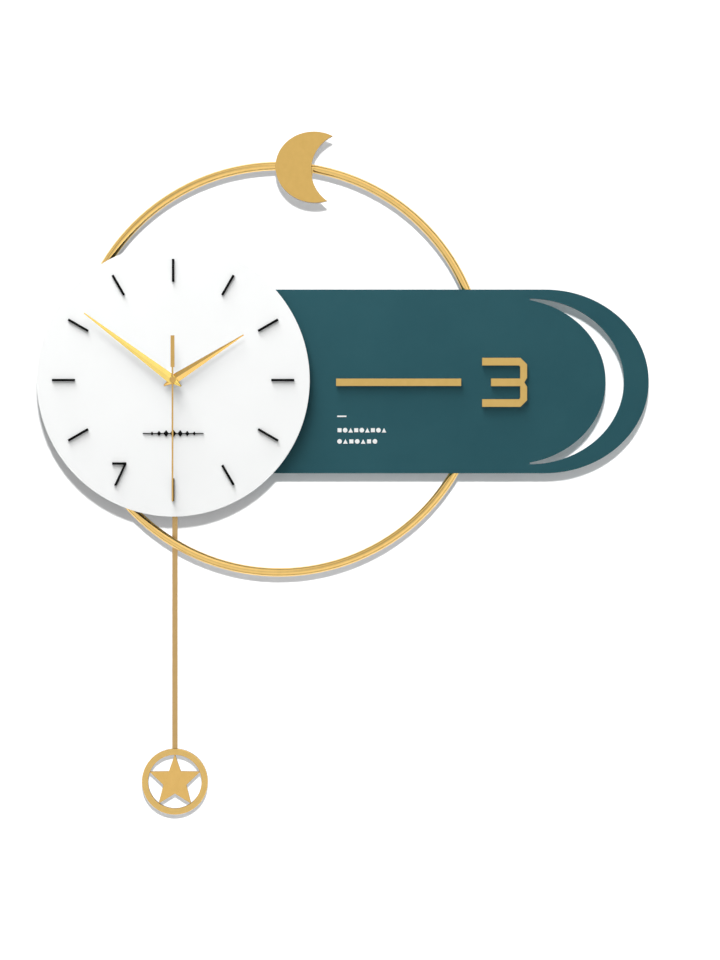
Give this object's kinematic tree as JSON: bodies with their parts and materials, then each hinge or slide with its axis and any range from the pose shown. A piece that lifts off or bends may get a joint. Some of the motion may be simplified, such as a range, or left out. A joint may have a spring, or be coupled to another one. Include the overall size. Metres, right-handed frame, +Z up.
{
  "type": "pendulum wall clock",
  "caption": "Wall clock with a round dial, a long oval side panel with a crescent cut-out, a hoop with a moon, and a swinging pendulum with a star in a ring.",
  "frame": {"origin": "on the wall plane, midway between the entry holes of the two keyhole hangers", "axes": "+Z up, +X to the right as seen from the front, +Y into the wall; the dial faces -Y"},
  "size_m": [0.6265, 0.053, 0.702],
  "materials": {
    "dial_white": "satin",
    "black_acrylic": "polished",
    "panel_teal": "matte lacquer",
    "print_white": "printed",
    "gold_plate": "polished",
    "gold_foil": "satin metallised",
    "gold_hand": "satin gold",
    "zinc_steel": "zinc plated",
    "silicon_steel": "rolled",
    "turned_brass": "turned",
    "movement_black": "moulded",
    "post_black": "moulded",
    "white_nylon": "moulded",
    "gear_acetal": "moulded",
    "copper_wire": "enamelled",
    "board_green": "solder mask",
    "epoxy_black": "potted",
    "ferrite": "ground",
    "soft_rubber": "matte",
    "foam_grey": "foam",
    "cell_sleeve": "printed sleeve"
  },
  "bodies": {
    "clock_body": {"dial_disc": "dial_white", "hour_markers": "black_acrylic", "numeral_seven": "black_acrylic", "dial_ornament": "black_acrylic", "side_panel": "panel_teal", "panel_bar": "gold_foil", "numeral_three": "gold_foil", "panel_print_marks": "print_white", "hoop": "gold_plate", "hoop_screws": "zinc_steel", "crescent_moon": "gold_plate", "dial_spacers": "white_nylon", "dial_screws": "zinc_steel", "hanger_brackets": "zinc_steel", "hanger_screws": "zinc_steel", "wall_posts": "post_black", "wall_pads": "foam_grey", "movement_case": "movement_black", "movement_cover": "movement_black", "cover_screws": "zinc_steel", "threaded_bushing": "turned_brass", "bushing_nut": "turned_brass", "dial_washer": "turned_brass", "rubber_gasket": "soft_rubber", "spring_contact": "zinc_steel", "flat_contact": "zinc_steel", "circuit_board": "board_green", "clock_chip": "epoxy_black", "quartz_crystal": "zinc_steel", "motor_stator": "silicon_steel", "motor_core": "silicon_steel", "motor_coil": "copper_wire", "pendulum_coil": "copper_wire", "lever_pivot_pin": "zinc_steel"},
    "second_train": {"second_wheel": "gear_acetal", "second_hand": "gold_hand"},
    "motor_rotor": {"rotor_arbor": "gear_acetal", "rotor_magnet": "ferrite"},
    "intermediate": {"intermediate_wheel": "gear_acetal"},
    "third": {"third_wheel": "gear_acetal"},
    "centre": {"centre_wheel": "gear_acetal"},
    "minute": {"minute_arbor": "turned_brass", "clutch_spring": "turned_brass", "minute_hand": "gold_hand"},
    "motion": {"motion_wheel": "gear_acetal"},
    "hour": {"hour_wheel": "gear_acetal", "hour_hand": "gold_hand"},
    "knob": {"setting_knob": "white_nylon"},
    "pendulum": {"pendulum_lever": "white_nylon", "lever_magnet": "ferrite", "pendulum_rod": "gold_plate", "bob_ring": "gold_plate", "bob_star": "gold_plate"},
    "battery": {"aa_battery": "cell_sleeve"}
  },
  "joints": [
    {"name": "second_hand_turn", "type": "hinge", "parent": "clock_body", "child": "second_train", "pos_m": [-0.105, -0.027, -0.058], "axis": [0, 1, 0], "continuous": true},
    {"name": "rotor_turn", "type": "hinge", "parent": "clock_body", "child": "motor_rotor", "pos_m": [-0.11669, -0.021, -0.05006], "axis": [0, 1, 0], "continuous": true},
    {"name": "intermediate_turn", "type": "hinge", "parent": "clock_body", "child": "intermediate", "pos_m": [-0.11079, -0.021, -0.05111], "axis": [0, 1, 0], "continuous": true},
    {"name": "third_turn", "type": "hinge", "parent": "clock_body", "child": "third", "pos_m": [-0.11079, -0.024, -0.06489], "axis": [0, 1, 0], "continuous": true},
    {"name": "centre_turn", "type": "hinge", "parent": "clock_body", "child": "centre", "pos_m": [-0.105, -0.025, -0.058], "axis": [0, 1, 0], "continuous": true},
    {"name": "minute_hand_turn", "type": "hinge", "parent": "clock_body", "child": "minute", "pos_m": [-0.105, -0.037, -0.058], "axis": [0, 1, 0], "continuous": true},
    {"name": "motion_turn", "type": "hinge", "parent": "clock_body", "child": "motion", "pos_m": [-0.096, -0.028, -0.058], "axis": [0, 1, 0], "continuous": true},
    {"name": "hour_hand_turn", "type": "hinge", "parent": "clock_body", "child": "hour", "pos_m": [-0.105, -0.037, -0.058], "axis": [0, 1, 0], "continuous": true},
    {"name": "setting_knob_turn", "type": "hinge", "parent": "clock_body", "child": "knob", "pos_m": [-0.08754, -0.017, -0.06108], "axis": [0, 1, 0], "continuous": true},
    {"name": "pendulum_swing", "type": "hinge", "parent": "clock_body", "child": "pendulum", "pos_m": [-0.105, -0.0134, -0.076], "axis": [0, 1, 0], "range_deg": [-8, 8]},
    {"name": "battery_removal", "type": "slide", "parent": "clock_body", "child": "battery", "axis": [0, 1, 0], "range_m": [0, 0.02]}
  ],
  "couplings": [
    {"joint": "intermediate_turn", "follows": "second_hand_turn", "ratio": -6},
    {"joint": "rotor_turn", "follows": "second_hand_turn", "ratio": 30},
    {"joint": "third_turn", "follows": "second_hand_turn", "ratio": -0.13333},
    {"joint": "centre_turn", "follows": "second_hand_turn", "ratio": 0.016667},
    {"joint": "motion_turn", "follows": "minute_hand_turn", "ratio": -0.33333},
    {"joint": "hour_hand_turn", "follows": "minute_hand_turn", "ratio": 0.083333},
    {"joint": "setting_knob_turn", "follows": "minute_hand_turn", "ratio": 1}
  ]
}
